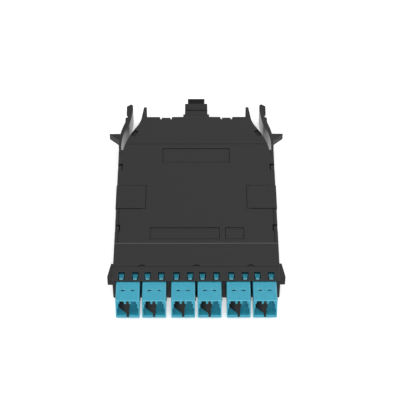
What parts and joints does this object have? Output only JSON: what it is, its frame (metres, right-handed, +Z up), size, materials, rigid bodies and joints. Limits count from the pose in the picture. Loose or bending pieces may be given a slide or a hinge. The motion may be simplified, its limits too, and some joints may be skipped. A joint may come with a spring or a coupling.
{
  "type": "fibre cassette",
  "caption": "Flat moulded fibre cassette: duplex fibre ports along the front, one multi-fibre port at the rear, squeeze-to-release arms at the rear corners.",
  "frame": {"origin": "under the middle of the whole cassette, on the surface it stands on", "axes": "+X to the right seen from the front, +Y towards the rear port, +Z up"},
  "size_m": [0.1024, 0.1616, 0.0148],
  "materials": {
    "housing_plastic": "fine moulded satin",
    "adapter_plastic": "smooth moulded satin",
    "shutter_plastic": "moulded matt",
    "cap_plastic": "soft moulded matt",
    "plug_plastic": "moulded satin",
    "ceramic": "polished white ceramic",
    "ferrule_plastic": "moulded matt",
    "pin_steel": "ground steel",
    "fibre_jacket": "extruded satin jacket"
  },
  "bodies": {
    "cassette": {"base_tray": "housing_plastic", "top_cover": "housing_plastic", "adapter_shell_1": "adapter_plastic", "adapter_shell_2": "adapter_plastic", "adapter_shell_3": "adapter_plastic", "adapter_shell_4": "adapter_plastic", "adapter_shell_5": "adapter_plastic", "adapter_shell_6": "adapter_plastic", "port_divider_1": "shutter_plastic", "port_divider_2": "shutter_plastic", "port_divider_3": "shutter_plastic", "port_divider_4": "shutter_plastic", "port_divider_5": "shutter_plastic", "port_divider_6": "shutter_plastic", "alignment_sleeves": "ceramic", "inner_lc_plugs": "plug_plastic", "inner_ferrules": "ceramic", "fibre_legs": "fibre_jacket", "fan_out_block": "housing_plastic", "fibre_trunk": "fibre_jacket", "mpo_plug": "plug_plastic", "mpo_ferrule": "ferrule_plastic", "mpo_guide_pins": "pin_steel", "mpo_adapter": "housing_plastic", "mpo_dust_cap": "cap_plastic"},
    "arm_left": {"release_arm_left": "housing_plastic"},
    "arm_right": {"release_arm_right": "housing_plastic"},
    "leaf_left_1": {"shutter_left_1": "shutter_plastic"},
    "leaf_right_1": {"shutter_right_1": "shutter_plastic"},
    "leaf_left_2": {"shutter_left_2": "shutter_plastic"},
    "leaf_right_2": {"shutter_right_2": "shutter_plastic"},
    "leaf_left_3": {"shutter_left_3": "shutter_plastic"},
    "leaf_right_3": {"shutter_right_3": "shutter_plastic"},
    "leaf_left_4": {"shutter_left_4": "shutter_plastic"},
    "leaf_right_4": {"shutter_right_4": "shutter_plastic"},
    "leaf_left_5": {"shutter_left_5": "shutter_plastic"},
    "leaf_right_5": {"shutter_right_5": "shutter_plastic"},
    "leaf_left_6": {"shutter_left_6": "shutter_plastic"},
    "leaf_right_6": {"shutter_right_6": "shutter_plastic"}
  },
  "joints": [
    {"name": "arm_left_squeeze", "type": "hinge", "parent": "cassette", "child": "arm_left", "pos_m": [-0.0443, 0.03425, 0.00765], "axis": [0, 0, 1], "range_deg": [-8, 0], "stiffness_Nm_per_rad": 0.2},
    {"name": "arm_right_squeeze", "type": "hinge", "parent": "cassette", "child": "arm_right", "pos_m": [0.0443, 0.03425, 0.00765], "axis": [0, 0, 1], "range_deg": [0, 8], "stiffness_Nm_per_rad": 0.2},
    {"name": "leaf_left_1_swing", "type": "hinge", "parent": "cassette", "child": "leaf_left_1", "pos_m": [-0.03707, -0.07943, 0.0039], "axis": [0, 0.3451, 0.9386], "range_deg": [-55, 35], "stiffness_Nm_per_rad": 0.00002},
    {"name": "leaf_right_1_swing", "type": "hinge", "parent": "cassette", "child": "leaf_right_1", "pos_m": [-0.03612, -0.07943, 0.0039], "axis": [0, 0.3451, 0.9386], "range_deg": [-90, 0], "stiffness_Nm_per_rad": 0.00002},
    {"name": "leaf_left_2_swing", "type": "hinge", "parent": "cassette", "child": "leaf_left_2", "pos_m": [-0.02301, -0.07943, 0.0039], "axis": [0, 0.3451, 0.9386], "range_deg": [-55, 35], "stiffness_Nm_per_rad": 0.00002},
    {"name": "leaf_right_2_swing", "type": "hinge", "parent": "cassette", "child": "leaf_right_2", "pos_m": [-0.02206, -0.07943, 0.0039], "axis": [0, 0.3451, 0.9386], "range_deg": [-90, 0], "stiffness_Nm_per_rad": 0.00002},
    {"name": "leaf_left_3_swing", "type": "hinge", "parent": "cassette", "child": "leaf_left_3", "pos_m": [-0.0075, -0.07943, 0.0039], "axis": [0, 0.3451, 0.9386], "range_deg": [-55, 35], "stiffness_Nm_per_rad": 0.00002},
    {"name": "leaf_right_3_swing", "type": "hinge", "parent": "cassette", "child": "leaf_right_3", "pos_m": [-0.00655, -0.07943, 0.0039], "axis": [0, 0.3451, 0.9386], "range_deg": [-90, 0], "stiffness_Nm_per_rad": 0.00002},
    {"name": "leaf_left_4_swing", "type": "hinge", "parent": "cassette", "child": "leaf_left_4", "pos_m": [0.00655, -0.07943, 0.0039], "axis": [0, 0.3451, 0.9386], "range_deg": [-55, 35], "stiffness_Nm_per_rad": 0.00002},
    {"name": "leaf_right_4_swing", "type": "hinge", "parent": "cassette", "child": "leaf_right_4", "pos_m": [0.0075, -0.07943, 0.0039], "axis": [0, 0.3451, 0.9386], "range_deg": [-90, 0], "stiffness_Nm_per_rad": 0.00002},
    {"name": "leaf_left_5_swing", "type": "hinge", "parent": "cassette", "child": "leaf_left_5", "pos_m": [0.02206, -0.07943, 0.0039], "axis": [0, 0.3451, 0.9386], "range_deg": [-55, 35], "stiffness_Nm_per_rad": 0.00002},
    {"name": "leaf_right_5_swing", "type": "hinge", "parent": "cassette", "child": "leaf_right_5", "pos_m": [0.02301, -0.07943, 0.0039], "axis": [0, 0.3451, 0.9386], "range_deg": [-90, 0], "stiffness_Nm_per_rad": 0.00002},
    {"name": "leaf_left_6_swing", "type": "hinge", "parent": "cassette", "child": "leaf_left_6", "pos_m": [0.03612, -0.07943, 0.0039], "axis": [0, 0.3451, 0.9386], "range_deg": [-55, 35], "stiffness_Nm_per_rad": 0.00002},
    {"name": "leaf_right_6_swing", "type": "hinge", "parent": "cassette", "child": "leaf_right_6", "pos_m": [0.03707, -0.07943, 0.0039], "axis": [0, 0.3451, 0.9386], "range_deg": [-90, 0], "stiffness_Nm_per_rad": 0.00002}
  ]
}
